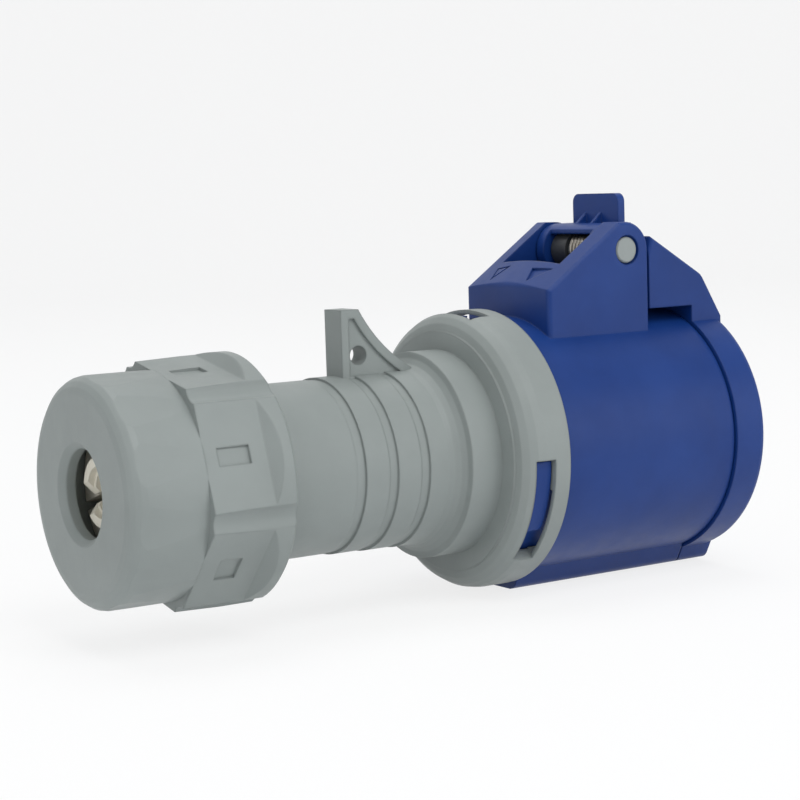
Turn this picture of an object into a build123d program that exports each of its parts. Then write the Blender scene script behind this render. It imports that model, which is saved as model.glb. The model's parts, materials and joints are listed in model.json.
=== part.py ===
"""Pin and sleeve connector: the female, cable-mounted half, with a sprung lid.

Millimetres. X runs along the connector, with its origin in the face of the contact insert
and +X out of the socket's mouth. +Z is up, towards the lid's hinge. The keyway is at the bottom.
Angles about X are counted from +Y towards +Z.
"""
import os
from math import asin, atan2, cos, hypot, radians, sin, sqrt, tan

from build123d import *

os.makedirs("parts", exist_ok=True)

# Fits and clearances
seat_gap = 0.02        # pieces fixed in each other
running_gap = 0.06     # lid on its pin
moving_gap = 0.3       # between pieces that move past each other
overcut = 1.0          # how far a cut runs past the face it opens

# Socket and sleeve
insert_r = 18.6
socket_r = 22.6
socket_depth = 37.5
rim_x = 3.2            # the sleeve's rim stands ahead of the insert's face
sleeve_r = 26.6
tail_length = 8.0      # the sleeve's tail, inside the rear housing's ring

# Keel with the keyway in it
keel_bottom = 29.2
keel_wall = 2.2
keel_half_top = 11.0
keel_half_bottom = 7.6
keel_round = 2.4
keel_gap = 0.8         # from the rear housing's ring
keyway_half = 4.0
keyway_wall = 1.0      # left between the keyway and the carrier's flange

# Lid
lid_r = 27.3
lid_plate = 2.6
lid_round = 1.4
skirt_wall = 1.7
lid_overlap = 4.4      # the lid's skirt covers this much of the sleeve
lid_seal_t = 1.1
lid_seal_r_in = 22.8
lid_seal_r_out = 24.6
seal_touch = 0.05

# Hinge block on the sleeve
pin_x = -19.1
pin_z = 39.5
pin_r = 2.7
pin_half = 14.05
pin_rim_gap = 0.35     # wider mouth of the pin hole
pin_rim_depth = 0.8
boss_r = 5.8
block_half = 14.2
block_rear_x = -39.9
block_rear_top = 32.2
block_edge = 1.0
block_corner = 1.6
crown = 0.9            # the slope bulges by this much in the middle
cheek_t = 4.5
roof_t = 2.5
window_rear_x = -33.4
chamber_floor = 27.8
mark_line = 0.5
mark_floor = 0.35      # above the slope's edges; the bulge stands over it
open_mark = ((-7.2, 1.8), (-9.0, 6.0), (-5.0, 6.8))
shut_mark = ((5.2, 2.0), (3.1, 6.1), (9.4, 6.5))

# Lid's arm, barrel and finger tab
barrel_r = 5.5
barrel_half = 9.4
spring_room_r = 4.8
spring_room_from = -7.4
spring_room_to = 6.9
top_plate_x = -3.4     # from the pin's axis to the edge of the hood over the spring
top_plate_z = 2.6
arm_gap = 6.25         # from the pin's axis to the arm's rear face
arm_lean = 0.8
arm_half = 13.7
arm_wall = 2.4
arm_bottom = 27.0
arm_edge = 0.8
arm_tie = 1.0          # the barrel runs this far into the arm
knee = (1.2, 33.9)
arm_fall = 0.615
arm_foot_z = 24.3
tab_half = 7.5
tab_t = 1.8
tab_top = 51.2
tab_rear_x = -15.8
tab_corner = 1.8
rib_length = 3.0
rib_height = 2.6
rib_half = 0.4
rib_places = (3.3, -1.6)

# Torsion spring and the sleeve beside it, both on the pin
wire_r = 0.45
spring_r = 3.35
spring_pitch = 1.08
spring_from = -6.6
spring_turns = 7
wire_steps = 16        # straights in one turn of the wire
spring_rear_turn = 28.0
spring_rear_leg = 16.4
spring_front_leg = 7.0
spring_sleeve_r = 3.7
spring_sleeve_from = 1.8
spring_sleeve_to = 6.6

# Rear housing
ring_r = 28.5
ring_width = 11.0
ring_wall = 2.5
ring_front_x = -46.5
window_from = 3.6      # from the ring's front edge
window_width = 4.4
window_span = 46.0
window_angles = (82.5, 202.5, 322.5)
lug_set_in = 1.2       # the lugs end this far inside the ring's outside
lug_span = 31.0
lug_play = 0.6         # degrees
free_turn = 13.0       # degrees from locked to open
land_r = 20.9
land_width = 7.1
foot_width = 6.0
chamber_r = 18.6
tube_front_r = 17.8
tube_rear_r = 16.9
tube_length = 34.0
tube_bore_r = 14.46
groove_depth = 0.45
groove_width = 1.9
groove_places = (-88.6, -81.4, -74.2)
foot_flat = 2.7        # the tube runs on this far before it flares to the land
foot_steps = 4
chamber_set_back = 1.5
shoulder_step = 0.5
shoulder_height = 3.9
shoulder_length = 4.6
thread_r = 18.4
thread_length = 18.0
thread_set_in = 0.5    # the thread ends this far inside the tight nut
ledge_r = 12.5
ledge_width = 2.0
fin_rear_x = -82.4
fin_height = 12.6      # over the tube
fin_top_length = 4.1
fin_half = 3.0
fin_flange = 1.8       # width of the flange round the web
fin_web_half = 2.4
fin_hollow = 1.2       # its long edge is hollowed by this much
fin_foot_gap = 1.4     # its foot ends this far behind the land
fin_foot_rise = 0.2
fin_root = 1.3         # sunk into the tube
fin_eye_r = 1.9
fin_eye_place = (4.1, 3.5)      # from its rear face and over the tube

# Cable gland
nut_length = 32.3
nut_gap = 0.9          # from the tight nut to the tube
nut_hole_r = 8.4
nut_hole_round = 1.2
nut_wall = 3.2
nut_bore_r = 18.7
drum_r = 21.7
drum_length = 15.2
drum_round = 3.2
scallop_count = 12
scallop_depth = 0.5
scallop_half = 4.6
collar_r = 24.0
collar_round = 0.6
flat_r_rear = 21.4
flat_r_front = 21.9
flat_length = 12.4
flat_run_out = 2.2
nut_corner = 11.0      # degrees
cove_r = 3.0
cove_depth = 1.0
pocket_depth = 0.45
pocket_x = -116.7
jaw_length = 10.0
jaw_front_r = 16.3
jaw_cone = 22.0        # degrees
jaw_slit = 1.7
jaw_angle = 71.4       # direction the upper jaw opens
jaw_nose_r = 6.6
jaw_nose_length = 3.4
jaw_nose_cut = 2.2     # the noses' inner edges are cut back by this much
jaw_channel_r = 3.4
jaw_step = 0.7         # the channel opens rearwards in steps this high
jaw_step_length = 1.3
tooth_depth = 0.7
tooth_half = 0.6
tooth_places = (3.6, 6.0, 8.4)
clamp_ring_r = 18.3
clamp_ring_length = 9.4
washer_t = 1.0
washer_r_in = 6.0
washer_r_out = 18.0
cable_seal_length = 14.0
cable_seal_r = 14.4
cable_bore_r = 5.0

# Contacts: sockets for 5 mm line and neutral pins and a 7 mm earth pin
contact_circle = 8.75
pole_r = 2.55
earth_r = 3.55
tube_t = 1.0
tube_set_back = 2.3
contact_room = 0.7
collar_step = 0.5
slot_width = 0.8
slot_length = 13.0
ring_t = 0.4
ring_length = 2.4
ring_place = -5.0
ring_mouth = 1.6
collar_length = 3.2
block_length = 8.6
block_width = 7.6
block_depth = 8.4
wire_hole_r = 1.9
wire_hole_depth = 6.5
screw_r = 1.98
screw_tip = 10.9
screw_head_r = 2.9
screw_head_t = 1.6
screw_slot = 0.8

# Carrier of the contacts, and the retainer behind it
flange_r = 23.6
flange_t = 3.0
carrier_body_r = 17.4
carrier_body_length = 9.5
block_slot_r = 4.5
retainer_t = 2.2
retainer_hole_r = 2.6
center_screw_r = 1.5
center_head_r = 3.0
center_head_t = 1.8
center_screw_depth = 6.0
seal_ring_width = 1.7
seal_ring_gap = 0.06

# Places along the axis, worked out from the sizes above
lid_seal_x = rim_x + seal_touch
lid_inner_x = lid_seal_x + lid_seal_t
lid_front_x = lid_inner_x + lid_plate
lid_rear_x = rim_x - lid_overlap
shoulder_x = lid_rear_x - moving_gap
flange_front_x = -socket_depth
flange_rear_x = flange_front_x - flange_t
sleeve_step_x = ring_front_x + moving_gap
tail_x = sleeve_step_x - tail_length
keel_rear_x = ring_front_x + keel_gap
keyway_rear_x = flange_front_x + keyway_wall
keyway_floor = keel_bottom - keel_wall
ring_rear_x = ring_front_x - ring_width
ring_inner_x = ring_rear_x + ring_wall
ring_bore_r = ring_r - ring_wall
tail_r = ring_bore_r - moving_gap
lug_r = ring_r - lug_set_in
land_rear_x = ring_rear_x - land_width
foot_rear_x = land_rear_x - foot_width
tube_rear_x = foot_rear_x - tube_length
thread_rear_x = tube_rear_x - thread_length
nut_front_x = tube_rear_x - nut_gap
thread_front_x = nut_front_x - thread_set_in
nut_rear_x = nut_front_x - nut_length
nut_inner_x = nut_rear_x + nut_wall
collar_rear_x = nut_rear_x + drum_length
ledge_rear_x = thread_rear_x + cable_seal_length + 2 * seat_gap
washer_rear_x = thread_rear_x - seat_gap - washer_t
jaw_front_x = washer_rear_x - moving_gap
jaw_rear_x = jaw_front_x - jaw_length
clamp_ring_x = nut_inner_x + moving_gap
carrier_rear_x = flange_rear_x - carrier_body_length
retainer_rear_x = carrier_rear_x - retainer_t
tube_front_x = -tube_set_back
block_front_x = flange_rear_x - moving_gap
arm_rear_x = pin_x + arm_gap
tab_front_x = tab_rear_x + tab_t
inner_half = block_half - cheek_t
block_nose_x = pin_x + boss_r
block_top = pin_z + boss_r
skirt_r_in = lid_r - skirt_wall
neck_r = skirt_r_in - moving_gap
cone_rise = tan(radians(jaw_cone))

# Rim radius that the skirt's lowest corner still clears as the lid turns about its pin
corner_reach = hypot(lid_rear_x - pin_x, pin_z + skirt_r_in)
rim_r = sqrt(corner_reach**2 - (rim_x - pin_x) ** 2) - pin_z - moving_gap

# The hinge block's slope is a plane that touches the bosses round the pin
boss_reach = hypot(pin_x - block_rear_x, pin_z - block_rear_top)
slope = atan2(pin_z - block_rear_top, pin_x - block_rear_x) + asin(boss_r / boss_reach)


def slope_z(x, rise=0.0):
    """Height of the slope at x, raised square to itself by rise."""
    return block_rear_top + (x - block_rear_x) * tan(slope) + rise / cos(slope)


def arm_z(x, drop=0.0):
    """Height of the lid arm's top at x, lowered by drop."""
    return knee[1] - (x - knee[0]) * arm_fall - drop


def tube_z(x):
    """Outer radius of the handle tube at x."""
    return tube_rear_r + (tube_front_r - tube_rear_r) * (x - tube_rear_x) / tube_length


def rounded(x, r, width, height, way, steps):
    """Points (x, r) of a rounded rim: way 1 comes up its rear face, -1 goes down its front face."""
    turns = [radians(90 * step / steps) for step in range(steps + 1)]
    points = [(x + way * width * (1 - sin(turn)), r - height * (1 - cos(turn))) for turn in turns]
    return points[::-way]


def radial_plane(angle):
    """Plane that holds the connector's axis and the outward direction at this angle about it."""
    out_y = cos(radians(angle))
    out_z = sin(radians(angle))
    return Plane(origin=(0, 0, 0), x_dir=(1, 0, 0), z_dir=(0, -out_z, out_y))


def facing_plane(angle, radius):
    """Plane square to the outward direction at this angle, its x along the connector."""
    out_y = cos(radians(angle))
    out_z = sin(radians(angle))
    return Plane(origin=(0, radius * out_y, radius * out_z), x_dir=(1, 0, 0), z_dir=(0, out_y, out_z))


def around(angle, radius):
    """Point (y, z) at this angle and radius about the connector's axis."""
    return (radius * cos(radians(angle)), radius * sin(radians(angle)))


def sector(x_from, x_to, r_in, r_out, angle_from, angle_to):
    """Piece of a ring about the connector's axis, between two angles."""
    with BuildPart(mode=Mode.PRIVATE) as piece:
        with BuildSketch(radial_plane(angle_from)):
            with Locations(((x_from + x_to) / 2, (r_in + r_out) / 2)):
                Rectangle(x_to - x_from, r_out - r_in)
        revolve(axis=Axis.X, revolution_arc=angle_to - angle_from)
    return piece.part


def lug_start(angle):
    """Angle at which the lug in the window at this angle begins."""
    return angle - window_span / 2 + lug_play


# Front housing: sleeve, keel and hinge block in one moulding
crown_r = (block_half**2 + crown**2) / (2 * crown)
crown_tool = Plane(
    origin=(
        block_rear_x + sin(slope) * (crown_r - crown),
        0,
        block_rear_top - cos(slope) * (crown_r - crown),
    ),
    z_dir=(cos(slope), 0, sin(slope)),
) * Cylinder(crown_r, 4 * block_half)
mark_plane = Plane(
    origin=(block_rear_x, 0, block_rear_top),
    x_dir=(0, -1, 0),
    z_dir=(-sin(slope), 0, cos(slope)),
)
flat_rear_x = block_rear_x + (block_top - slope_z(block_rear_x, crown)) / tan(slope)
chamber_rear_x = block_rear_x + roof_t
lugs = [
    sector(
        ring_front_x - window_from - window_width + moving_gap,
        ring_front_x - window_from - moving_gap,
        tail_r - overcut,
        lug_r,
        lug_start(angle),
        lug_start(angle) + lug_span,
    )
    for angle in window_angles
]

with BuildPart() as front_housing:
    # hinge block with its bulging slope
    with BuildSketch(Plane.XZ):
        with BuildLine():
            Polyline(
                (pin_x, block_top),
                (flat_rear_x, block_top),
                (block_rear_x, slope_z(block_rear_x, crown)),
                (block_rear_x, insert_r),
                (block_nose_x, insert_r),
                (block_nose_x, pin_z),
            )
            CenterArc((pin_x, pin_z), boss_r, 0, 90)
        make_face()
        fillet(vertices().sort_by_distance((block_rear_x, block_rear_top))[0], radius=block_corner)
    extrude(amount=block_half, both=True)
    add(crown_tool, mode=Mode.INTERSECT)
    sides = edges().filter_by_position(Axis.Y, block_half - seat_gap, block_half + seat_gap)
    sides += edges().filter_by_position(Axis.Y, -block_half - seat_gap, -block_half + seat_gap)
    fillet(sides.filter_by_position(Axis.Z, insert_r + moving_gap, block_top + overcut), radius=block_edge)
    # chamber of the spring, open to the lid and through the window in the slope
    with BuildSketch(Plane.XZ):
        with BuildLine():
            Polyline(
                (chamber_rear_x, chamber_floor),
                (chamber_rear_x, slope_z(chamber_rear_x, crown - roof_t)),
                (window_rear_x, slope_z(window_rear_x, crown - roof_t)),
                (window_rear_x, block_top + overcut),
                (block_nose_x + overcut, block_top + overcut),
                (block_nose_x + overcut, chamber_floor),
                close=True,
            )
        make_face()
    extrude(amount=inner_half, both=True, mode=Mode.SUBTRACT)
    # sleeve, with its tail behind and its neck in front
    with BuildSketch(Plane.XZ):
        with BuildLine():
            Polyline(
                (tail_x, 0),
                (tail_x, tail_r),
                (sleeve_step_x, tail_r),
                (sleeve_step_x, sleeve_r),
                (shoulder_x, sleeve_r),
                (shoulder_x, neck_r),
                (rim_x, rim_r),
                (rim_x, 0),
                close=True,
            )
        make_face()
    revolve(axis=Axis.X)
    # keel
    with BuildSketch(Plane.YZ.offset(keel_rear_x)):
        with BuildLine():
            Polyline(
                (-keel_half_top, -socket_r),
                (keel_half_top, -socket_r),
                (keel_half_bottom, -keel_bottom),
                (-keel_half_bottom, -keel_bottom),
                close=True,
            )
        make_face()
        fillet(vertices().group_by(Axis.Y)[0], radius=keel_round)
    extrude(amount=shoulder_x - keel_rear_x)
    # socket and the seat of the contact carrier
    with BuildSketch(Plane.XZ):
        with BuildLine():
            Polyline(
                (tail_x - overcut, 0),
                (tail_x - overcut, flange_r + seat_gap),
                (flange_front_x, flange_r + seat_gap),
                (flange_front_x, socket_r),
                (rim_x + overcut, socket_r),
                (rim_x + overcut, 0),
                close=True,
            )
        make_face()
    revolve(axis=Axis.X, mode=Mode.SUBTRACT)
    # keyway
    with BuildSketch(Plane.YZ.offset(keyway_rear_x)):
        with Locations((0, -(keyway_floor + insert_r) / 2)):
            Rectangle(2 * keyway_half, keyway_floor - insert_r)
    extrude(amount=rim_x + overcut - keyway_rear_x, mode=Mode.SUBTRACT)
    # holes of the hinge pin, with wider mouths
    with Locations((pin_x, 0, pin_z)):
        Cylinder(pin_r + seat_gap, 3 * block_half, rotation=(90, 0, 0), mode=Mode.SUBTRACT)
    with Locations((pin_x, block_half, pin_z), (pin_x, -block_half, pin_z)):
        Cylinder(pin_r + pin_rim_gap, 2 * pin_rim_depth, rotation=(90, 0, 0), mode=Mode.SUBTRACT)
    # bayonet lugs on the tail
    for lug in lugs:
        add(lug)
    # marks on the slope: a triangle in outline and a filled one
    with BuildSketch(mark_plane.offset(mark_floor)):
        with BuildLine():
            Polyline(*open_mark, close=True)
        make_face()
        offset(amount=-mark_line, mode=Mode.SUBTRACT)
        with BuildLine():
            Polyline(*shut_mark, close=True)
        make_face()
    extrude(amount=block_corner, mode=Mode.SUBTRACT)

front_housing.part.label = "front_housing"
export_step(front_housing.part, "parts/front_housing.step")

# Lid
room_middle = (spring_room_from + spring_room_to) / 2
room_width = spring_room_to - spring_room_from

with BuildPart() as lid:
    # arm, hollow underneath
    with BuildSketch(Plane.XZ):
        with BuildLine():
            Polyline(
                (arm_rear_x, arm_bottom),
                (arm_rear_x, pin_z),
                (arm_rear_x + arm_lean, arm_z(arm_rear_x + arm_lean)),
                knee,
                (lid_front_x, arm_foot_z),
                (lid_front_x, insert_r),
                (lid_rear_x, insert_r),
                (lid_rear_x, arm_bottom),
                close=True,
            )
        make_face()
    extrude(amount=arm_half, both=True)
    sides = edges().filter_by_position(Axis.Y, arm_half - 0.01, arm_half + 0.01)
    sides += edges().filter_by_position(Axis.Y, -arm_half - 0.01, -arm_half + 0.01)
    upper_sides = sides.filter_by_position(Axis.Z, arm_foot_z + 0.1, block_top).sort_by(Axis.Z)[-4:]
    fillet(upper_sides, radius=arm_edge)
    with BuildSketch(Plane.XZ):
        with BuildLine():
            Polyline(
                (arm_rear_x + arm_wall, arm_bottom - overcut),
                (arm_rear_x + arm_wall, arm_z(arm_rear_x + arm_wall, arm_wall)),
                (lid_rear_x, arm_z(lid_rear_x, arm_wall)),
                (lid_rear_x, arm_bottom - overcut),
                close=True,
            )
        make_face()
    extrude(amount=arm_half - arm_wall, both=True, mode=Mode.SUBTRACT)
    # barrel between the cheeks, tied to the arm
    with BuildSketch(Plane.XZ):
        with BuildLine():
            Polyline(
                (pin_x, pin_z - barrel_r),
                (pin_x, pin_z + barrel_r),
                (tab_front_x, pin_z + barrel_r),
                (tab_front_x, arm_z(tab_front_x)),
                (arm_rear_x + arm_tie, arm_z(arm_rear_x + arm_tie)),
                (arm_rear_x + arm_tie, pin_z - barrel_r),
                close=True,
            )
        make_face()
        with Locations((pin_x, pin_z)):
            Circle(barrel_r)
    extrude(amount=barrel_half, both=True)
    # room for the spring between the knuckles, under a top plate
    with Locations((pin_x, room_middle, pin_z)):
        Cylinder(spring_room_r, room_width, rotation=(90, 0, 0), mode=Mode.SUBTRACT)
    with BuildSketch(Plane.XZ.offset(-room_middle)):
        with BuildLine():
            Polyline(
                (pin_x - 2 * barrel_r, pin_z - 2 * barrel_r),
                (pin_x - 2 * barrel_r, pin_z + 2 * barrel_r),
                (pin_x + top_plate_x, pin_z + 2 * barrel_r),
                (pin_x + top_plate_x, pin_z + top_plate_z),
                (arm_rear_x + arm_wall + overcut, pin_z + top_plate_z - overcut),
                (arm_rear_x + arm_wall + overcut, pin_z - 2 * barrel_r),
                close=True,
            )
        make_face()
    extrude(amount=room_width / 2, both=True, mode=Mode.SUBTRACT)
    # finger tab with two small ribs behind it
    with BuildSketch(Plane.YZ.offset(tab_rear_x)):
        with Locations((0, (tab_top + block_top - tab_t) / 2)):
            Rectangle(2 * tab_half, tab_top - block_top + tab_t)
        fillet(vertices().group_by(Axis.Y)[-1], radius=tab_corner)
    extrude(amount=tab_t)
    for rib_y in rib_places:
        with BuildSketch(Plane.XZ.offset(-rib_y)):
            with BuildLine():
                Polyline(
                    (tab_rear_x - rib_length, pin_z + barrel_r - rib_half),
                    (tab_rear_x + rib_half, pin_z + barrel_r - rib_half),
                    (tab_rear_x + rib_half, pin_z + barrel_r + rib_height),
                    close=True,
                )
            make_face()
        extrude(amount=rib_half, both=True)
    # cover with its skirt
    with BuildSketch(Plane.XZ):
        with BuildLine():
            Polyline(
                (lid_rear_x, 0),
                (lid_rear_x, lid_r),
                *rounded(lid_front_x, lid_r, lid_round, lid_round, -1, 3),
                (lid_front_x, 0),
                close=True,
            )
        make_face()
    revolve(axis=Axis.X)
    # end of the keel
    with BuildSketch(Plane.YZ.offset(lid_rear_x)):
        with BuildLine():
            Polyline(
                (-keel_half_top, -socket_r),
                (keel_half_top, -socket_r),
                (keel_half_bottom, -keel_bottom),
                (-keel_half_bottom, -keel_bottom),
                close=True,
            )
        make_face()
        fillet(vertices().group_by(Axis.Y)[0], radius=keel_round)
    extrude(amount=lid_front_x - lid_rear_x)
    with Locations(((lid_rear_x + lid_inner_x) / 2, 0, 0)):
        Cylinder(skirt_r_in, lid_inner_x - lid_rear_x, rotation=(0, 90, 0), mode=Mode.SUBTRACT)
    # bore of the hinge pin
    with Locations((pin_x, 0, pin_z)):
        Cylinder(pin_r + running_gap, 2 * block_half, rotation=(90, 0, 0), mode=Mode.SUBTRACT)

lid.part.label = "lid"
export_step(lid.part, "parts/lid.step")

# Seal in the lid, closing on the rim
with BuildPart() as lid_seal:
    with BuildSketch(Plane.YZ.offset(lid_seal_x)):
        Circle(lid_seal_r_out)
        Circle(lid_seal_r_in, mode=Mode.SUBTRACT)
    extrude(amount=lid_seal_t - seat_gap)

lid_seal.part.label = "lid_seal"
export_step(lid_seal.part, "parts/lid_seal.step")

# Hinge pin
with BuildPart() as hinge_pin:
    with Locations((pin_x, 0, pin_z)):
        Cylinder(pin_r, 2 * pin_half, rotation=(90, 0, 0))
    chamfer(edges(), length=0.3)

hinge_pin.part.label = "hinge_pin"
export_step(hinge_pin.part, "parts/hinge_pin.step")

# Torsion spring: a coil round the pin, one leg down to the chamber's floor, one leg under the arm
coil_turns = spring_turns - spring_rear_turn / 360
coil_steps = round(coil_turns * wire_steps)
coil_points = []
for step in range(coil_steps + 1):
    share = step / coil_steps
    turn = radians(-90 - 360 * coil_turns * share)
    coil_points.append(
        (
            pin_x + spring_r * cos(turn),
            spring_from + coil_turns * spring_pitch * share,
            pin_z + spring_r * sin(turn),
        )
    )
front_leg_end = (pin_x + spring_front_leg, spring_from, pin_z - spring_r)
rear_leg_end = (
    coil_points[-1][0] - spring_rear_leg * cos(radians(spring_rear_turn)),
    coil_points[-1][1],
    coil_points[-1][2] - spring_rear_leg * sin(radians(spring_rear_turn)),
)

with BuildPart() as lid_spring:
    with BuildLine() as wire_line:
        Polyline(front_leg_end, *coil_points, rear_leg_end)
    with BuildSketch(Plane(origin=front_leg_end, z_dir=(-1, 0, 0))):
        RegularPolygon(wire_r, 6)
    sweep(path=wire_line.line, transition=Transition.RIGHT)

lid_spring.part.label = "lid_spring"
export_step(lid_spring.part, "parts/lid_spring.step")

# Spacing sleeve on the pin, beside the spring
with BuildPart() as spring_sleeve:
    with BuildSketch(Plane.XZ.offset(-spring_sleeve_from)):
        with Locations((pin_x, pin_z)):
            Circle(spring_sleeve_r)
            Circle(pin_r + seat_gap, mode=Mode.SUBTRACT)
    extrude(amount=spring_sleeve_from - spring_sleeve_to)

spring_sleeve.part.label = "spring_sleeve"
export_step(spring_sleeve.part, "parts/spring_sleeve.step")

# Rear housing: ring with windows, stepped body, handle tube, hanging fin, thread zone
windows = [
    sector(
        ring_front_x - window_from - window_width,
        ring_front_x - window_from,
        ring_bore_r - moving_gap,
        ring_r + overcut,
        angle - window_span / 2,
        angle + window_span / 2,
    )
    for angle in window_angles
]
entries = [
    sector(
        ring_front_x - window_from - moving_gap,
        ring_front_x + overcut,
        ring_bore_r - moving_gap,
        lug_r + moving_gap,
        lug_start(angle) + free_turn - lug_play,
        lug_start(angle) + free_turn + lug_span + lug_play,
    )
    for angle in window_angles
]

section_edges = (thread_front_x, *groove_places, foot_rear_x + foot_flat)
foot_turns = [radians(90 * step / foot_steps) for step in range(1, foot_steps)]
foot_curve = [
    (
        foot_rear_x + foot_flat + (foot_width - foot_flat) * sin(turn),
        tube_front_r + (land_r - tube_front_r) * (1 - cos(turn)),
    )
    for turn in foot_turns
]

# Side view of the hanging fin
fin_top = tube_front_r + fin_height
fin_top_x = fin_rear_x + fin_top_length
fin_foot_x = land_rear_x - fin_foot_gap
fin_foot_z = tube_front_r + fin_foot_rise

with BuildSketch(Plane.XZ) as fin_side:
    with BuildLine():
        Polyline(
            (fin_foot_x, fin_foot_z),
            (fin_foot_x, tube_rear_r - fin_root),
            (fin_rear_x, tube_rear_r - fin_root),
            (fin_rear_x, fin_top),
            (fin_top_x, fin_top),
        )
        SagittaArc((fin_top_x, fin_top), (fin_foot_x, fin_foot_z), -fin_hollow)
    make_face()

with BuildPart() as rear_housing:
    # hanging fin: a web with an eye, and a flange round it
    extrude(fin_side.sketch, amount=fin_half, both=True)
    for side in (1, -1):
        with BuildSketch(Plane.XZ.offset(side * fin_web_half)):
            add(fin_side.sketch_local)
            offset(amount=-fin_flange, mode=Mode.REPLACE)
        extrude(amount=side * fin_half, mode=Mode.SUBTRACT)
    with Locations((fin_rear_x + fin_eye_place[0], 0, tube_front_r + fin_eye_place[1])):
        Cylinder(fin_eye_r, 2 * fin_half, rotation=(90, 0, 0), mode=Mode.SUBTRACT)
    # outside, with the tube's sections between its grooves
    sections = []
    for from_x, to_x in zip(section_edges, section_edges[1:]):
        section_r = tube_z((from_x + to_x) / 2)
        sections += [
            (from_x, section_r - groove_depth),
            (from_x + groove_width, section_r - groove_depth),
            (from_x + groove_width, section_r),
            (to_x, section_r),
        ]
    with BuildSketch(Plane.XZ):
        with BuildLine():
            Polyline(
                (thread_rear_x, 0),
                (thread_rear_x, thread_r),
                (thread_front_x, thread_r),
                *sections,
                *foot_curve,
                (land_rear_x, land_r),
                (ring_rear_x, land_r),
                (ring_rear_x, ring_r - shoulder_height),
                (ring_rear_x + shoulder_step, ring_r - shoulder_height),
                *rounded(ring_rear_x + shoulder_step, ring_r, shoulder_length, shoulder_height, 1, 4)[1:],
                (ring_front_x, ring_r),
                (ring_front_x, 0),
                close=True,
            )
        make_face()
    revolve(axis=Axis.X)
    # inside
    with BuildSketch(Plane.XZ):
        with BuildLine():
            Polyline(
                (thread_rear_x - overcut, 0),
                (thread_rear_x - overcut, tube_bore_r),
                (ledge_rear_x, tube_bore_r),
                (ledge_rear_x, ledge_r),
                (ledge_rear_x + ledge_width, ledge_r),
                (ledge_rear_x + ledge_width, tube_bore_r),
                (foot_rear_x + foot_flat, tube_bore_r),
                (land_rear_x + chamber_set_back, chamber_r),
                (ring_inner_x, chamber_r),
                (ring_inner_x, ring_bore_r),
                (ring_front_x + overcut, ring_bore_r),
                (ring_front_x + overcut, 0),
                close=True,
            )
        make_face()
    revolve(axis=Axis.X, mode=Mode.SUBTRACT)
    # bayonet windows and the channels by which the lugs enter them
    for window in windows:
        add(window, mode=Mode.SUBTRACT)
    for entry in entries:
        add(entry, mode=Mode.SUBTRACT)

rear_housing.part.label = "rear_housing"
export_step(rear_housing.part, "parts/rear_housing.step")

# Seal between the two housings
with BuildPart() as housing_seal:
    with BuildSketch(Plane.YZ.offset(ring_inner_x + seal_ring_gap)):
        Circle(tail_r)
        Circle(tail_r - seal_ring_width, mode=Mode.SUBTRACT)
    extrude(amount=tail_x - seat_gap - ring_inner_x - seal_ring_gap)

housing_seal.part.label = "housing_seal"
export_step(housing_seal.part, "parts/housing_seal.step")

# Gland nut: drum with grip hollows and a six-sided collar
with BuildPart() as gland_nut:
    with BuildSketch(Plane.XZ):
        with BuildLine():
            Polyline(
                (nut_rear_x + nut_hole_round, nut_hole_r),
                (nut_rear_x, nut_hole_r + nut_hole_round),
                *rounded(nut_rear_x, drum_r, drum_round, drum_round, 1, 4),
                (collar_rear_x, drum_r),
                (collar_rear_x, collar_r),
                (nut_front_x - collar_round, collar_r),
                (nut_front_x, collar_r - collar_round),
                (nut_front_x, nut_bore_r),
                (nut_inner_x, nut_bore_r),
                (nut_inner_x, nut_hole_r),
                close=True,
            )
        make_face()
    revolve(axis=Axis.X)
    # six flats, each ending in a sloping wall
    for side in range(6):
        with BuildSketch(radial_plane(nut_corner + 30 + 60 * side)):
            with BuildLine():
                Polyline(
                    (collar_rear_x, flat_r_rear),
                    (collar_rear_x + flat_length, flat_r_front),
                    (collar_rear_x + flat_length + flat_run_out, collar_r + 0.1),
                    (collar_rear_x, collar_r + 0.1),
                    close=True,
                )
            make_face()
        extrude(amount=flat_r_rear / 2 + 1.0, both=True, mode=Mode.SUBTRACT)
    # coves along the corners
    for side in range(6):
        cove_y, cove_z = around(nut_corner + 60 * side, collar_r - cove_depth + cove_r)
        with Locations(((collar_rear_x + nut_front_x) / 2, cove_y, cove_z)):
            Cylinder(cove_r, drum_length * 2, rotation=(0, 90, 0), mode=Mode.SUBTRACT)
    # grip hollows that run in from the drum's rim and fade out
    for hollow in range(scallop_count):
        with BuildSketch(radial_plane(nut_corner + 360 / scallop_count * hollow)):
            with BuildLine():
                Polyline(
                    (nut_rear_x - overcut, drum_r - scallop_depth),
                    (collar_rear_x, drum_r),
                    (nut_rear_x - overcut, drum_r + overcut),
                    close=True,
                )
            make_face()
        extrude(amount=scallop_half + overcut, both=True, mode=Mode.SUBTRACT)
    # plain pockets on three of the flats
    for pocket_angle, pocket_long, pocket_wide in ((161.0, 6.4, 3.4), (221.0, 4.2, 5.4), (101.0, 6.4, 3.4)):
        with BuildSketch(facing_plane(pocket_angle, (flat_r_rear + flat_r_front) / 2 - pocket_depth)):
            with Locations((pocket_x, 0)):
                Rectangle(pocket_long, pocket_wide)
        extrude(amount=pocket_depth * 4, mode=Mode.SUBTRACT)

gland_nut.part.label = "gland_nut"
export_step(gland_nut.part, "parts/gland_nut.step")

# Clamp ring: a cone that the nut pushes over the jaws
clamp_front_x = clamp_ring_x + clamp_ring_length
cone_gap = moving_gap / cos(radians(jaw_cone))


def cone_radius(x):
    """Radius of the jaws' cone at x."""
    return jaw_front_r - (jaw_front_x - x) * cone_rise


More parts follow.
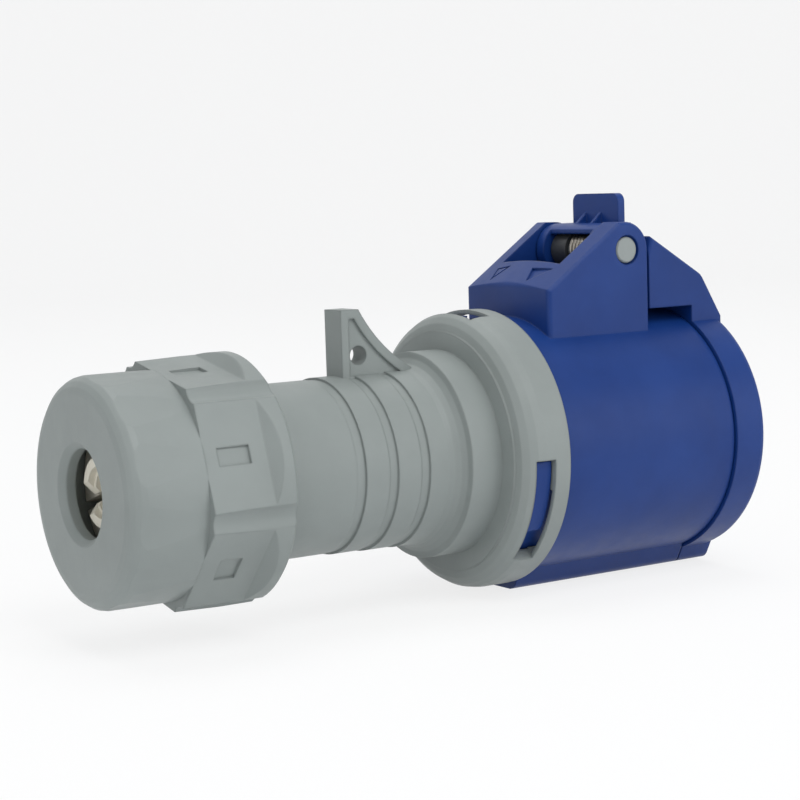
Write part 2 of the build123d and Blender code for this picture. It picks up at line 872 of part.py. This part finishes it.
with BuildPart() as clamp_ring:
    with BuildSketch(Plane.XZ):
        with BuildLine():
            Polyline(
                (clamp_ring_x, cone_radius(clamp_ring_x) + cone_gap),
                (clamp_ring_x, clamp_ring_r),
                (clamp_front_x, clamp_ring_r),
                (clamp_front_x, cone_radius(clamp_front_x) + cone_gap),
                close=True,
            )
        make_face()
    revolve(axis=Axis.X)

clamp_ring.part.label = "clamp_ring"
export_step(clamp_ring.part, "parts/clamp_ring.step")


def jaw(angle):
    """One of the two jaws, the one that opens towards this angle."""
    reach = 2 * jaw_front_r
    with BuildPart() as piece:
        with BuildSketch(Plane.XZ):
            with BuildLine():
                Polyline(
                    (jaw_rear_x, 0),
                    (jaw_rear_x, jaw_nose_r),
                    (jaw_rear_x + jaw_nose_length, jaw_nose_r),
                    (jaw_rear_x + jaw_nose_length, cone_radius(jaw_rear_x + jaw_nose_length)),
                    (jaw_front_x, jaw_front_r),
                    (jaw_front_x, 0),
                    close=True,
                )
            make_face()
        revolve(axis=Axis.X)
        with BuildSketch(Plane.YZ.offset(jaw_rear_x)):
            with Locations(around(angle, (jaw_slit + reach) / 2)):
                Rectangle(reach, 2 * reach, rotation=angle)
        extrude(amount=jaw_length, mode=Mode.INTERSECT)
        with BuildSketch(Plane.XZ):
            with BuildLine():
                Polyline(
                    (jaw_rear_x, 0),
                    (jaw_rear_x, jaw_channel_r + 2 * jaw_step),
                    (jaw_rear_x + jaw_step_length, jaw_channel_r + 2 * jaw_step),
                    (jaw_rear_x + jaw_step_length, jaw_channel_r + jaw_step),
                    (jaw_rear_x + 2 * jaw_step_length, jaw_channel_r + jaw_step),
                    (jaw_rear_x + 2 * jaw_step_length, jaw_channel_r),
                    (jaw_front_x, jaw_channel_r),
                    (jaw_front_x, 0),
                    close=True,
                )
            make_face()
        revolve(axis=Axis.X, mode=Mode.SUBTRACT)
        with BuildSketch(Plane.XZ):
            for place in tooth_places:
                with Locations((jaw_rear_x + place, jaw_channel_r / 2 + tooth_depth / 2)):
                    Rectangle(2 * tooth_half, jaw_channel_r + tooth_depth)
        revolve(axis=Axis.X, mode=Mode.SUBTRACT)
        with BuildSketch(radial_plane(angle)):
            with BuildLine():
                Polyline(
                    (jaw_rear_x, 0),
                    (jaw_rear_x, jaw_slit / 2 + jaw_nose_cut),
                    (jaw_rear_x + jaw_nose_cut, jaw_slit / 2),
                    (jaw_rear_x + jaw_nose_cut, 0),
                    close=True,
                )
            make_face()
        extrude(amount=reach, both=True, mode=Mode.SUBTRACT)
    return piece


jaw_upper = jaw(jaw_angle)
jaw_upper.part.label = "jaw_upper"
export_step(jaw_upper.part, "parts/jaw_upper.step")

jaw_lower = jaw(jaw_angle + 180)
jaw_lower.part.label = "jaw_lower"
export_step(jaw_lower.part, "parts/jaw_lower.step")

# Slip washer between the jaws and the cable seal
with BuildPart() as slip_washer:
    with BuildSketch(Plane.YZ.offset(washer_rear_x)):
        Circle(washer_r_out)
        Circle(washer_r_in, mode=Mode.SUBTRACT)
    extrude(amount=washer_t)

slip_washer.part.label = "slip_washer"
export_step(slip_washer.part, "parts/slip_washer.step")

# Cable seal in the end of the tube
with BuildPart() as cable_seal:
    with BuildSketch(Plane.YZ.offset(thread_rear_x + seat_gap)):
        Circle(cable_seal_r)
        Circle(cable_bore_r, mode=Mode.SUBTRACT)
    extrude(amount=cable_seal_length - seat_gap)

cable_seal.part.label = "cable_seal"
export_step(cable_seal.part, "parts/cable_seal.step")

# Carrier of the contacts
contact_plan = ((30.0, pole_r), (150.0, pole_r), (270.0, earth_r))

with BuildPart() as carrier:
    with BuildSketch(Plane.XZ):
        with BuildLine():
            Polyline(
                (carrier_rear_x, 0),
                (carrier_rear_x, carrier_body_r),
                (flange_rear_x, carrier_body_r),
                (flange_rear_x, flange_r),
                (flange_front_x - seat_gap, flange_r),
                (flange_front_x - seat_gap, insert_r),
                (0, insert_r),
                (0, 0),
                close=True,
            )
        make_face()
    revolve(axis=Axis.X)
    for angle, bore_r in contact_plan:
        with BuildSketch(Plane.YZ.offset(overcut)):
            with Locations(around(angle, contact_circle)):
                Circle(bore_r + tube_t + contact_room)
        extrude(amount=block_front_x - overcut, mode=Mode.SUBTRACT)
        with BuildSketch(Plane.YZ.offset(block_front_x + collar_length + seat_gap)):
            with Locations(around(angle, contact_circle)):
                Circle(bore_r + tube_t + contact_room + collar_step + seat_gap)
        extrude(amount=carrier_rear_x - block_front_x - collar_length - overcut, mode=Mode.SUBTRACT)
        with BuildSketch(Plane.YZ.offset(block_front_x + seat_gap)):
            with Locations(around(angle, block_slot_r + carrier_body_r / 2)):
                Rectangle(carrier_body_r, block_width + 2 * seat_gap, rotation=angle)
        extrude(amount=-carrier_body_length - overcut, mode=Mode.SUBTRACT)
    with Locations(((carrier_rear_x + flange_rear_x) / 2, 0, 0)):
        Cylinder(center_screw_r + seat_gap, 2 * center_screw_depth, rotation=(0, 90, 0), mode=Mode.SUBTRACT)

carrier.part.label = "carrier"
export_step(carrier.part, "parts/carrier.step")


def contact(angle, bore_r):
    """Socket contact at this angle: slotted tube, collar and terminal block."""
    outer_r = bore_r + tube_t
    place = around(angle, contact_circle)
    with BuildPart() as piece:
        with BuildSketch(Plane.YZ.offset(tube_front_x)):
            with Locations(place):
                Circle(outer_r)
        extrude(amount=block_front_x - tube_front_x)
        with BuildSketch(Plane.YZ.offset(block_front_x)):
            with Locations(place):
                Circle(outer_r + contact_room + collar_step)
        extrude(amount=collar_length)
        with BuildSketch(Plane.YZ.offset(block_front_x)):
            with Locations(place):
                Rectangle(block_depth, block_width, rotation=angle)
        extrude(amount=-block_length)
        with BuildSketch(Plane.YZ.offset(tube_front_x)):
            with Locations(place):
                Circle(bore_r)
        extrude(amount=block_front_x + collar_length - tube_front_x, mode=Mode.SUBTRACT)
        with BuildSketch(Plane.YZ.offset(tube_front_x)):
            with Locations(place):
                Rectangle(3 * outer_r, slot_width, rotation=angle + 45)
                Rectangle(3 * outer_r, slot_width, rotation=angle - 45)
        extrude(amount=-slot_length, mode=Mode.SUBTRACT)
        with BuildSketch(Plane.YZ.offset(block_front_x - block_length)):
            with Locations(place):
                Circle(wire_hole_r)
        extrude(amount=wire_hole_depth, mode=Mode.SUBTRACT)
        with BuildSketch(facing_plane(angle, contact_circle)):
            with Locations((block_front_x - block_length / 2, 0)):
                Circle(screw_r + seat_gap)
        extrude(amount=block_depth, mode=Mode.SUBTRACT)
    return piece


def contact_ring(angle, bore_r):
    """Open spring ring round a contact's tube."""
    outer_r = bore_r + tube_t
    place = around(angle, contact_circle)
    mouth = around(angle, contact_circle - outer_r)
    with BuildPart() as piece:
        with BuildSketch(Plane.YZ.offset(ring_place)):
            with Locations(place):
                Circle(outer_r + seat_gap + ring_t)
                Circle(outer_r + seat_gap, mode=Mode.SUBTRACT)
            with Locations(mouth):
                Rectangle(4 * ring_t, ring_mouth, rotation=angle, mode=Mode.SUBTRACT)
        extrude(amount=-ring_length)
    return piece


def terminal_screw(angle):
    """Terminal screw at this angle, pointing in."""
    along = block_front_x - block_length / 2
    seat = contact_circle + block_depth / 2 + seat_gap
    with BuildPart() as piece:
        with BuildSketch(facing_plane(angle, screw_tip)):
            with Locations((along, 0)):
                Circle(screw_r)
        extrude(amount=seat - screw_tip)
        with BuildSketch(facing_plane(angle, seat)):
            with Locations((along, 0)):
                Circle(screw_head_r)
        extrude(amount=screw_head_t)
        with BuildSketch(facing_plane(angle, seat + screw_head_t)):
            with Locations((along, 0)):
                Rectangle(3 * screw_head_r, screw_slot)
        extrude(amount=-screw_slot, mode=Mode.SUBTRACT)
    return piece


contact_line = contact(30.0, pole_r)
contact_line.part.label = "contact_line"
export_step(contact_line.part, "parts/contact_line.step")

contact_neutral = contact(150.0, pole_r)
contact_neutral.part.label = "contact_neutral"
export_step(contact_neutral.part, "parts/contact_neutral.step")

contact_earth = contact(270.0, earth_r)
contact_earth.part.label = "contact_earth"
export_step(contact_earth.part, "parts/contact_earth.step")

ring_line = contact_ring(30.0, pole_r)
ring_line.part.label = "ring_line"
export_step(ring_line.part, "parts/ring_line.step")

ring_neutral = contact_ring(150.0, pole_r)
ring_neutral.part.label = "ring_neutral"
export_step(ring_neutral.part, "parts/ring_neutral.step")

ring_earth = contact_ring(270.0, earth_r)
ring_earth.part.label = "ring_earth"
export_step(ring_earth.part, "parts/ring_earth.step")

screw_line = terminal_screw(30.0)
screw_line.part.label = "screw_line"
export_step(screw_line.part, "parts/screw_line.step")

screw_neutral = terminal_screw(150.0)
screw_neutral.part.label = "screw_neutral"
export_step(screw_neutral.part, "parts/screw_neutral.step")

screw_earth = terminal_screw(270.0)
screw_earth.part.label = "screw_earth"
export_step(screw_earth.part, "parts/screw_earth.step")

# Retainer that closes the carrier behind the terminal blocks
with BuildPart() as retainer:
    with BuildSketch(Plane.YZ.offset(carrier_rear_x - seat_gap)):
        Circle(carrier_body_r)
        Circle(center_screw_r + seat_gap, mode=Mode.SUBTRACT)
        for angle, bore_r in contact_plan:
            with Locations(around(angle, contact_circle)):
                Circle(retainer_hole_r, mode=Mode.SUBTRACT)
    extrude(amount=-retainer_t)

retainer.part.label = "retainer"
export_step(retainer.part, "parts/retainer.step")

# Screw of the retainer
retainer_seat_x = retainer_rear_x - 2 * seat_gap

with BuildPart() as retainer_screw:
    with BuildSketch(Plane.YZ.offset(retainer_seat_x)):
        Circle(center_screw_r)
    extrude(amount=retainer_t + center_screw_depth)
    with BuildSketch(Plane.YZ.offset(retainer_seat_x)):
        Circle(center_head_r)
    extrude(amount=-center_head_t)
    with BuildSketch(Plane.YZ.offset(retainer_seat_x - center_head_t)):
        Rectangle(3 * center_head_r, screw_slot)
        Rectangle(screw_slot, 3 * center_head_r)
    extrude(amount=screw_slot, mode=Mode.SUBTRACT)

retainer_screw.part.label = "retainer_screw"
export_step(retainer_screw.part, "parts/retainer_screw.step")
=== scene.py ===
import json
import math

import bpy
from mathutils import Matrix, Vector


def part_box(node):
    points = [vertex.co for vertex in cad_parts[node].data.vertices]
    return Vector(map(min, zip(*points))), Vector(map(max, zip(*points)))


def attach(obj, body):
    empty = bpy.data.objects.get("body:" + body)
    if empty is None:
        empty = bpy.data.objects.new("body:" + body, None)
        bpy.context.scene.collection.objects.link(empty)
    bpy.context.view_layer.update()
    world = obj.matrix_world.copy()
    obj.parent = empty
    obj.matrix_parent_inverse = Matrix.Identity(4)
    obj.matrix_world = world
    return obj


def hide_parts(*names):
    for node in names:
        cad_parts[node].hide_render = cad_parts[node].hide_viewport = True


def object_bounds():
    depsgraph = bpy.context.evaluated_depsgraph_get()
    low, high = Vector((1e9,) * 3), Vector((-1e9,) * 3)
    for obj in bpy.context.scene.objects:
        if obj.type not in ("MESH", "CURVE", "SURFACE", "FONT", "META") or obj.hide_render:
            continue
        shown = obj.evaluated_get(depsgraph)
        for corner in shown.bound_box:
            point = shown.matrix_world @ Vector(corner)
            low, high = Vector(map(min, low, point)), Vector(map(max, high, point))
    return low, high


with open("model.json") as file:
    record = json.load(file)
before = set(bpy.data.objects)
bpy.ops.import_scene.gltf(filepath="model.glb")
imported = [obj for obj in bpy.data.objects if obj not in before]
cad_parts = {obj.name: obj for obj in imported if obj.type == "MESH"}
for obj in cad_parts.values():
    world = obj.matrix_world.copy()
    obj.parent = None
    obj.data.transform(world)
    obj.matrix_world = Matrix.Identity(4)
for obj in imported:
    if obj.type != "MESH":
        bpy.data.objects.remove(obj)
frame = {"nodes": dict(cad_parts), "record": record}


def plain(box):
    """A box as plain lists of numbers."""
    return [[float(v) for v in corner] for corner in box]


cad_box = plain(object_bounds())

# Colours in linear light. Each material runs in soft clouds from its first colour to its second.
BLUE = ((0.004, 0.032, 0.175), (0.008, 0.043, 0.215))
GREY = ((0.24, 0.268, 0.26), (0.268, 0.298, 0.29))
PIN_GREY = ((0.25, 0.28, 0.275), (0.28, 0.31, 0.305))
DARK_GREY = ((0.03, 0.033, 0.037), (0.045, 0.048, 0.052))
CARRIER_GREY = ((0.04, 0.042, 0.046), (0.055, 0.058, 0.062))
CREAM = ((0.72, 0.68, 0.57), (0.8, 0.76, 0.66))
BLACK = ((0.02, 0.02, 0.021), (0.035, 0.035, 0.036))
BRASS = ((0.72, 0.5, 0.2), (0.78, 0.58, 0.28))
SPRING_STEEL = ((0.36, 0.33, 0.29), (0.46, 0.43, 0.38))
SCREW_STEEL = ((0.55, 0.55, 0.54), (0.64, 0.64, 0.63))
FLOOR = (0.93, 0.94, 0.95)
SKY = (0.97, 0.985, 1.0)
WHITE = (1.0, 1.0, 1.0)

# Sockets of a Mix node that mixes colours
MIX_SHARE, MIX_FIRST, MIX_SECOND, MIX_RESULT = 0, 6, 7, 2


def add_node(tree, kind, values):
    """A new shader node with these input values."""
    made = tree.nodes.new("ShaderNode" + kind)
    for socket, value in values.items():
        made.inputs[socket].default_value = value
    return made


class Net:
    """The nodes of one material on the object."""

    def __init__(self, name):
        self.mat = bpy.data.materials.new(name)
        self.mat.use_nodes = True
        self.tree = self.mat.node_tree
        self.shader = self.tree.nodes["Principled BSDF"]
        self.coord = self.tree.nodes.new("ShaderNodeTexCoord").outputs["Object"]

    def link(self, source, socket):
        self.tree.links.new(source, socket)

    def noise(self, scale, detail, rough, stretch=(1, 1, 1)):
        """Noise from 0 to 1 in the object's own coordinates."""
        mapping = add_node(self.tree, "Mapping", {"Scale": stretch})
        self.link(self.coord, mapping.inputs["Vector"])
        made = add_node(self.tree, "TexNoise", {"Scale": scale, "Detail": detail, "Roughness": rough})
        self.link(mapping.outputs["Vector"], made.inputs["Vector"])
        return made.outputs["Fac"]

    def ramp(self, noise, low, high, start=0.35, end=0.65):
        """The noise between start and end, stretched to run from low to high."""
        limits = {"From Min": start, "From Max": end, "To Min": low, "To Max": high}
        made = add_node(self.tree, "MapRange", limits)
        self.link(noise, made.inputs["Value"])
        return made.outputs["Result"]

    def clouds(self, colours, scale, detail):
        """Base colour in clouds between two colours."""
        made = self.tree.nodes.new("ShaderNodeMix")
        made.data_type = "RGBA"
        noise = self.noise(scale, detail, rough=0.6)
        self.link(self.ramp(noise, 0.0, 1.0), made.inputs[MIX_SHARE])
        for socket, colour in zip((MIX_FIRST, MIX_SECOND), colours):
            made.inputs[socket].default_value = (*colour, 1.0)
        self.link(made.outputs[MIX_RESULT], self.shader.inputs["Base Color"])

    def bump(self, layers, bevel=0.0):
        """Layers of (height, strength, distance), over edges rounded by bevel metres."""
        normal = None
        if bevel:
            round_edge = add_node(self.tree, "Bevel", {"Radius": bevel})
            round_edge.samples = 4
            normal = round_edge.outputs["Normal"]
        for height, strength, distance in layers:
            made = add_node(self.tree, "Bump", {"Strength": strength, "Distance": distance})
            self.link(height, made.inputs["Height"])
            if normal:
                self.link(normal, made.inputs["Normal"])
            normal = made.outputs["Normal"]
        self.link(normal, self.shader.inputs["Normal"])


def moulded(name, colours, rough, span, bevel, grain=0.15, specular=0.5):
    """Moulded plastic: flow clouds, rubbed patches, a faint wave, fine grain and rounded edges."""
    net = Net(name)
    net.clouds(colours, scale=38.0, detail=5.0)
    rubs = net.noise(scale=160.0, detail=6.0, rough=0.7, stretch=(1.0, 1.0, 0.6))
    rubbed = net.ramp(rubs, rough - span, rough + span, start=0.3, end=0.7)
    net.link(rubbed, net.shader.inputs["Roughness"])
    net.shader.inputs["Specular IOR Level"].default_value = specular
    wave = net.noise(scale=60.0, detail=2.0, rough=0.4)
    fine = net.noise(scale=5200.0, detail=2.0, rough=0.5)
    net.bump([(wave, 0.12, 0.0006), (fine, grain, 0.00006)], bevel)
    return net.mat


def metal(name, colours, rough, bevel, stretch=(1, 1, 1)):
    """Bare metal with fine marks, which a stretch draws out into lines."""
    net = Net(name)
    net.clouds(colours, scale=120.0, detail=4.0)
    marks = net.noise(scale=900.0, detail=4.0, rough=0.6, stretch=stretch)
    net.shader.inputs["Metallic"].default_value = 1.0
    net.link(net.ramp(marks, rough - 0.08, rough + 0.1), net.shader.inputs["Roughness"])
    net.bump([(marks, 0.2, 0.00003)], bevel)
    return net.mat


def soft_rubber(name, colours):
    """Matt rubber with a fine grain."""
    net = Net(name)
    net.clouds(colours, scale=90.0, detail=5.0)
    net.shader.inputs["Roughness"].default_value = 0.75
    fine = net.noise(scale=3000.0, detail=2.0, rough=0.5)
    net.bump([(fine, 0.3, 0.00008)])
    return net.mat


paint = {
    "blue_plastic": moulded("blue_plastic_look", BLUE, rough=0.42, span=0.05, bevel=0.0005, specular=0.3),
    "grey_plastic": moulded("grey_plastic_look", GREY, rough=0.48, span=0.06, bevel=0.0006, grain=0.22),
    "pin_grey": moulded("pin_grey_look", PIN_GREY, rough=0.4, span=0.05, bevel=0.0002),
    "dark_plastic": moulded("dark_plastic_look", DARK_GREY, rough=0.45, span=0.06, bevel=0.0002),
    "carrier_plastic": moulded("carrier_plastic_look", CARRIER_GREY, rough=0.5, span=0.06, bevel=0.0003),
    "cream_plastic": moulded("cream_plastic_look", CREAM, rough=0.45, span=0.06, bevel=0.0003),
    "rubber": soft_rubber("rubber_look", BLACK),
    "brass": metal("brass_look", BRASS, rough=0.3, bevel=0.0002, stretch=(0.1, 1, 1)),
    "spring_steel": metal("spring_steel_look", SPRING_STEEL, rough=0.34, bevel=0.0),
    "screw_steel": metal("screw_steel_look", SCREW_STEEL, rough=0.32, bevel=0.0002),
}


def spring_line(wire_r):
    """The torsion spring's middle line: a level leg towards the lid, the coil and a leaning leg."""
    coils = 7
    steps_a_turn = 48
    lean = math.radians(28)
    low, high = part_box("lid_spring")
    pin_low, pin_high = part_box("hinge_pin")
    pin = (pin_low + pin_high) / 2
    coil_r = high.z - pin.z - wire_r
    start_y, end_y = low.y + wire_r, high.y - wire_r
    points = [Vector((high.x, start_y, pin.z - coil_r))]
    turns = coils - lean / (2 * math.pi)
    steps = int(turns * steps_a_turn)
    for step in range(steps + 1):
        share = step / steps
        turn = -math.pi / 2 - 2 * math.pi * turns * share
        y = start_y + (end_y - start_y) * share
        points.append(Vector((pin.x + coil_r * math.cos(turn), y, pin.z + coil_r * math.sin(turn))))
    leg = (points[-1].x - low.x) / math.cos(lean)
    points.append(points[-1] - leg * Vector((math.cos(lean), 0, math.sin(lean))))
    return points


def spring_wire():
    """The lid's torsion spring as round wire, wound smoothly where the CAD solid has short straights."""
    wire_r = 0.00045
    points = spring_line(wire_r)
    curve = bpy.data.curves.new("spring_wire", "CURVE")
    curve.dimensions = "3D"
    curve.bevel_depth = wire_r
    curve.bevel_resolution = 3
    curve.use_fill_caps = True
    line = curve.splines.new("POLY")
    line.points.add(len(points) - 1)
    for place, point in zip(line.points, points):
        place.co = (*point, 1.0)
    curve.materials.append(paint["spring_steel"])
    made = bpy.data.objects.new("spring_wire", curve)
    bpy.context.collection.objects.link(made)
    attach(made, "front")
    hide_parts("lid_spring")


spring_wire()

slot_of = {entry["node"]: entry["material_slot"] for entry in frame["record"]["subparts"]}
slot_of["clamp_ring"] = "grey_plastic"  # seen in the nut's hole, as pale as the nut
for node_name, node_object in frame["nodes"].items():
    look = paint[slot_of[node_name]]
    for material_slot in node_object.material_slots:
        material_slot.material = look


def backdrop_look():
    """Pale floor colour that takes the object's shadow, mostly plain white to the camera and in gloss."""
    white_share = 0.8
    mat = bpy.data.materials.new("backdrop_look")
    mat.use_nodes = True
    tree = mat.node_tree
    shader = tree.nodes["Principled BSDF"]
    shader.inputs["Base Color"].default_value = (*FLOOR, 1.0)
    shader.inputs["Roughness"].default_value = 0.9
    shader.inputs["Specular IOR Level"].default_value = 0.1
    rays = tree.nodes.new("ShaderNodeLightPath")
    seen = tree.nodes.new("ShaderNodeMath")
    seen.operation = "MAXIMUM"
    tree.links.new(rays.outputs["Is Camera Ray"], seen.inputs[0])
    tree.links.new(rays.outputs["Is Glossy Ray"], seen.inputs[1])
    share = add_node(tree, "Math", {1: white_share})
    share.operation = "MULTIPLY"
    tree.links.new(seen.outputs[0], share.inputs[0])
    white = add_node(tree, "Emission", {"Color": (*WHITE, 1.0)})
    blend = tree.nodes.new("ShaderNodeMixShader")
    tree.links.new(share.outputs[0], blend.inputs["Fac"])
    tree.links.new(shader.outputs["BSDF"], blend.inputs[1])
    tree.links.new(white.outputs["Emission"], blend.inputs[2])
    tree.links.new(blend.outputs["Shader"], tree.nodes["Material Output"].inputs["Surface"])
    return mat


def backdrop():
    """Pale floor that curves up into a back wall, far behind."""
    half_width = 4.0
    front_y, bend_y, bend_r, wall_top = -3.0, 1.2, 0.6, 3.5
    bend_steps = 12
    gap_below_object = 0.0006
    turn_to_camera = math.radians(-34)
    floor_z = cad_box[0][2] - gap_below_object
    rows = [(front_y, floor_z), (bend_y, floor_z)]
    for step in range(1, bend_steps + 1):
        turn = math.radians(90 * step / bend_steps)
        rows.append((bend_y + bend_r * math.sin(turn), floor_z + bend_r * (1 - math.cos(turn))))
    rows.append((bend_y + bend_r, wall_top))
    verts = [(x, y, z) for y, z in rows for x in (-half_width, half_width)]
    faces = [(2 * i, 2 * i + 1, 2 * i + 3, 2 * i + 2) for i in range(len(rows) - 1)]
    mesh = bpy.data.meshes.new("backdrop")
    mesh.from_pydata(verts, [], faces)
    for polygon in mesh.polygons:
        polygon.use_smooth = True
    mesh.materials.append(backdrop_look())
    made = bpy.data.objects.new("backdrop", mesh)
    made.rotation_euler = (0, 0, turn_to_camera)
    bpy.context.collection.objects.link(made)


backdrop()


def area_light(name, place, size, watts):
    """A round soft lamp that points at the middle of the connector."""
    aim = Vector((-0.065, 0.0, 0.005))
    light = bpy.data.lights.new(name, "AREA")
    light.shape = "DISK"
    light.size = size
    light.energy = watts
    made = bpy.data.objects.new(name, light)
    made.location = place
    made.rotation_euler = (aim - Vector(place)).to_track_quat("-Z", "Y").to_euler()
    bpy.context.collection.objects.link(made)


area_light("key", (-0.1, -0.75, 0.95), size=0.7, watts=5.4)
area_light("fill", (-1.1, -0.2, 0.35), size=0.9, watts=1.7)
area_light("front", (0.55, -0.9, 0.3), size=0.8, watts=2.2)
area_light("top", (0.0, 0.25, 1.1), size=0.8, watts=3.4)


def pale_world():
    """Soft cool light from all sides, which the camera sees as plain white."""
    world = bpy.context.scene.world or bpy.data.worlds.new("World")
    bpy.context.scene.world = world
    world.use_nodes = True
    tree = world.node_tree
    sky = tree.nodes["Background"]
    sky.inputs["Color"].default_value = (*SKY, 1.0)
    sky.inputs["Strength"].default_value = 0.45
    white = add_node(tree, "Background", {"Color": (*WHITE, 1.0), "Strength": 1.0})
    rays = tree.nodes.new("ShaderNodeLightPath")
    blend = tree.nodes.new("ShaderNodeMixShader")
    tree.links.new(rays.outputs["Is Camera Ray"], blend.inputs["Fac"])
    tree.links.new(sky.outputs["Background"], blend.inputs[1])
    tree.links.new(white.outputs["Background"], blend.inputs[2])
    tree.links.new(blend.outputs["Shader"], tree.nodes["World Output"].inputs["Surface"])


pale_world()


def photo_camera():
    """Camera at the photograph's angle, placed by distances from a point on the connector's axis."""
    yaw, pitch, roll = -0.585, 0.106, -0.032
    axis_point = Vector((-0.06429, 0, 0))
    distance, to_the_left, above = 0.40454, 0.00278, 0.01107
    back = Vector((math.sin(yaw) * math.cos(pitch), -math.cos(yaw) * math.cos(pitch), math.sin(pitch)))
    level_right = (-back).cross(Vector((0, 0, 1))).normalized()
    level_up = level_right.cross(-back)
    right = math.cos(roll) * level_right + math.sin(roll) * level_up
    upward = -math.sin(roll) * level_right + math.cos(roll) * level_up
    place = axis_point + distance * back - to_the_left * right + above * upward
    data = bpy.data.cameras.new("camera")
    data.sensor_width = 36.0
    data.lens = 90.0
    data.clip_start = 0.01
    camera = bpy.data.objects.new("camera", data)
    tilt = Matrix((right, upward, back)).transposed().to_4x4()
    camera.matrix_world = Matrix.Translation(place) @ tilt
    bpy.context.collection.objects.link(camera)
    return camera


bpy.context.scene.camera = photo_camera()

bpy.context.scene.view_settings.view_transform = "Standard"
